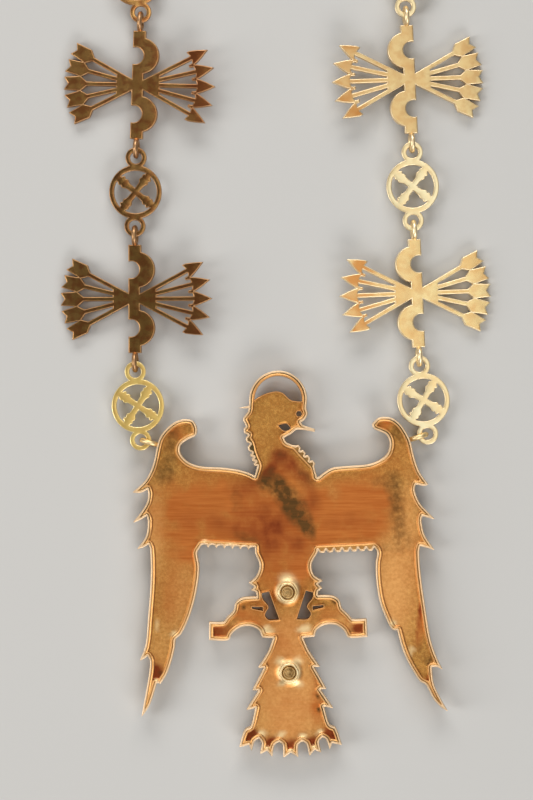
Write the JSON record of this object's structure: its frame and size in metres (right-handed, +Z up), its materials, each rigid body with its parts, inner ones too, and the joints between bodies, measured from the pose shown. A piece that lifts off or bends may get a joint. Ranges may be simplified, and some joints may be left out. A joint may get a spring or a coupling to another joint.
{
  "type": "order collar",
  "caption": "Chain collar of arrow-and-yoke links and round pierced links with a pierced eagle pendant, laid flat face down so that its back shows.",
  "frame": {"origin": "middle of the laid-out collar's footprint, on the surface that it lies on", "axes": "+Z up from the surface towards the visible back, +Y from the eagle's tail to the top of the chain, +X to the right in the picture"},
  "size_m": [0.2092, 0.4462, 0.0081],
  "materials": {
    "gilt": "polished gilding with brown tarnish in places",
    "eagle_gilt": "matte gilding over the cast back, rubbed thin to copper",
    "brass": "plain brass with solder round it"
  },
  "bodies": {
    "root": {"arrow_link_1": "gilt", "arrow_link_2": "gilt", "arrow_link_3": "gilt", "arrow_link_4": "gilt", "arrow_link_5": "gilt", "arrow_link_6": "gilt", "arrow_link_7": "gilt", "arrow_link_8": "gilt", "arrow_link_9": "gilt", "arrow_link_10": "gilt", "arrow_link_11": "gilt", "arrow_link_12": "gilt", "arrow_link_13": "gilt", "round_link_1": "gilt", "round_link_2": "gilt", "round_link_3": "gilt", "round_link_4": "gilt", "round_link_5": "gilt", "round_link_6": "gilt", "round_link_7": "gilt", "round_link_8": "gilt", "round_link_9": "gilt", "round_link_10": "gilt", "round_link_11": "gilt", "round_link_12": "gilt", "round_link_13": "gilt", "round_link_14": "gilt", "eagle": "eagle_gilt", "stud_upper": "brass", "stud_lower": "brass", "nut_upper": "brass", "nut_lower": "brass"}
  },
  "joints": []
}
